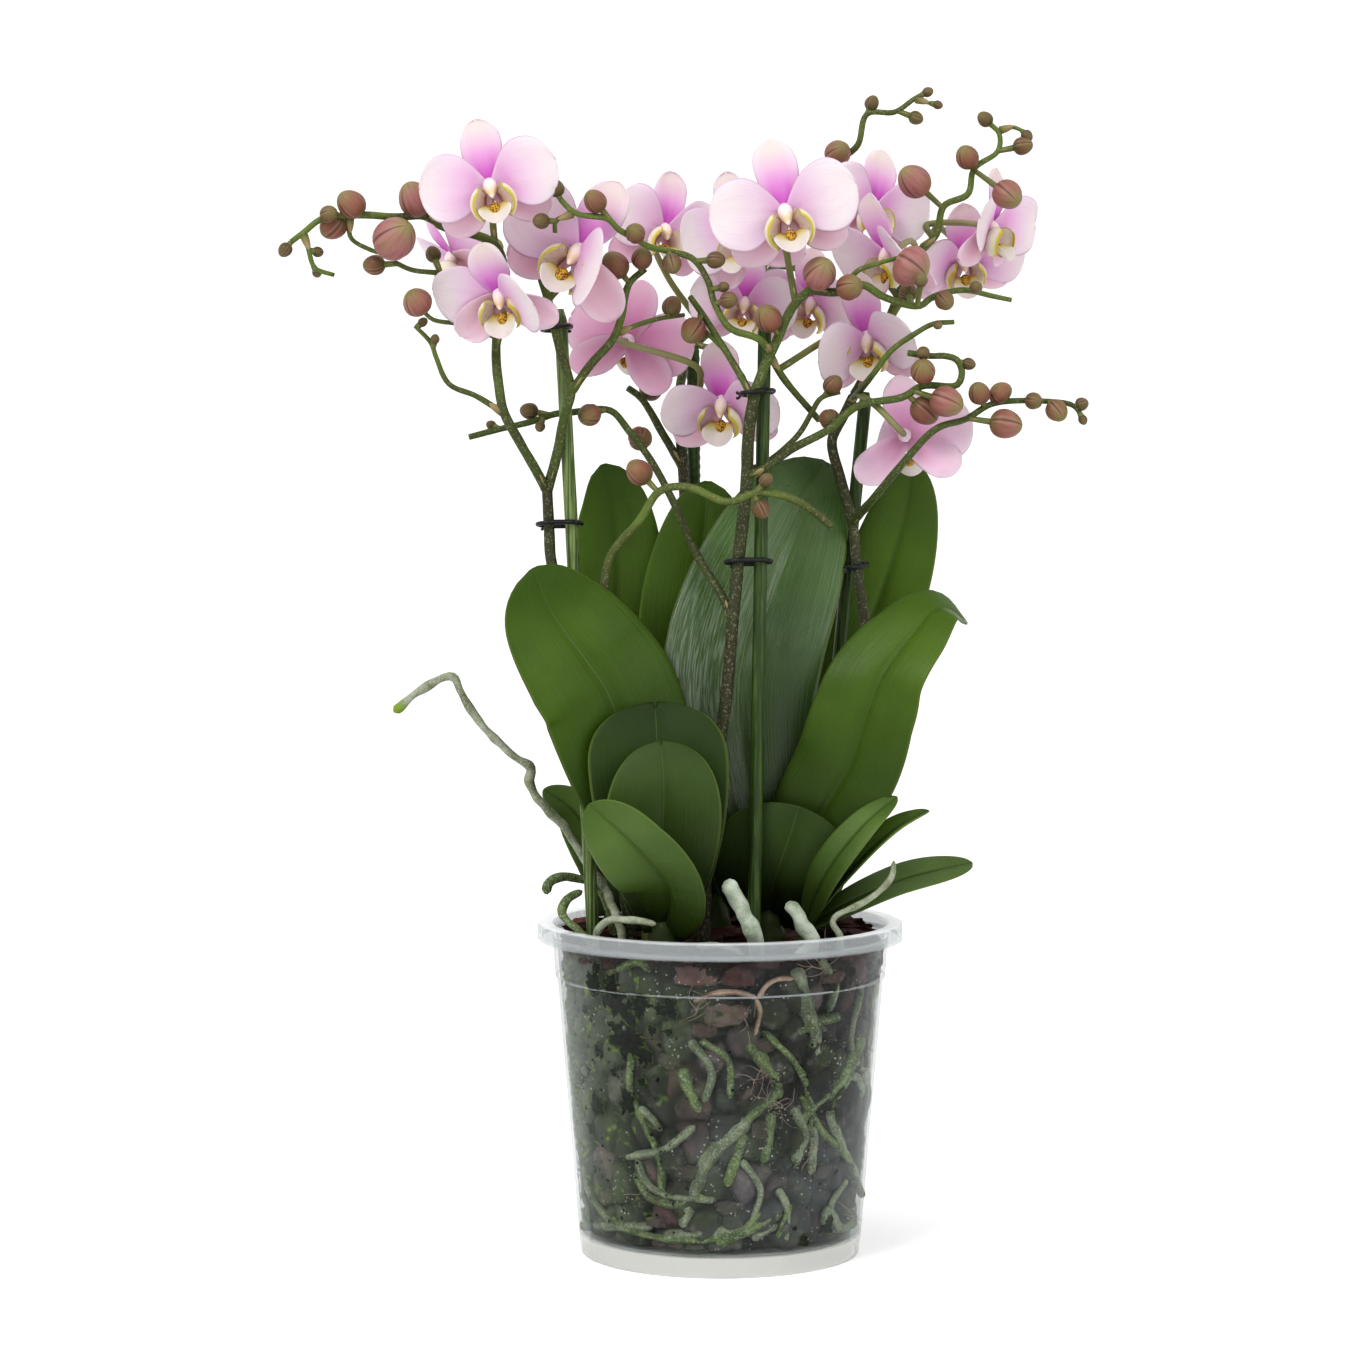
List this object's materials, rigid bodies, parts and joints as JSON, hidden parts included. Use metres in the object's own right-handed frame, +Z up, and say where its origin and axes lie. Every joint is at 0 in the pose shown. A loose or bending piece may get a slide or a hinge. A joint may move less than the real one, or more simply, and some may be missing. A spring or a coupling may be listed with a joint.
{
  "type": "potted orchid",
  "caption": "Moth orchid in a clear ribbed grow pot: tall flowering stems tied to canes, with open pink blooms, buds, broad leaves, bark and roots.",
  "frame": {"origin": "middle of the whole plant's box, at the foot of the pot", "axes": "+Z up, -Y towards the side the picture was taken from"},
  "size_m": [0.2594, 0.124, 0.3853],
  "materials": {
    "pot": "clear, slightly milky",
    "bark": "rough, damp",
    "cane": "satin",
    "tie": "matt",
    "leaf": "satin leaf",
    "stem": "matt, speckled",
    "root": "matt, silvery",
    "petal": "soft petal",
    "lip": "waxy"
  },
  "bodies": {
    "root": {"pot": "pot", "bark": "bark", "cane_left": "cane", "cane_centre": "cane", "cane_back": "cane", "cane_right": "cane", "tie_left_low": "tie", "tie_left_top": "tie", "tie_centre_low": "tie", "tie_centre_top": "tie", "tie_right_low": "tie", "leaves_front": "leaf", "leaves_middle": "leaf", "leaves_back": "leaf", "leaves_right": "leaf", "leaves_left": "leaf", "stem_left": "stem", "stem_centre": "stem", "stem_right": "stem", "stem_back": "stem", "stem_young": "stem", "roots_left": "root", "roots_front": "root", "roots_right": "root", "bloom_01": "petal", "lip_01": "lip", "bloom_02": "petal", "lip_02": "lip", "bloom_03": "petal", "lip_03": "lip", "bloom_04": "petal", "lip_04": "lip", "bloom_05": "petal", "lip_05": "lip", "bloom_06": "petal", "lip_06": "lip", "bloom_07": "petal", "lip_07": "lip", "bloom_08": "petal", "lip_08": "lip", "bloom_09": "petal", "lip_09": "lip", "bloom_10": "petal", "lip_10": "lip", "bloom_11": "petal", "lip_11": "lip", "bloom_12": "petal", "lip_12": "lip", "bloom_13": "petal", "lip_13": "lip", "bloom_14": "petal", "lip_14": "lip", "bloom_15": "petal", "lip_15": "lip", "bloom_16": "petal", "lip_16": "lip", "bloom_17": "petal", "lip_17": "lip"}
  },
  "joints": []
}
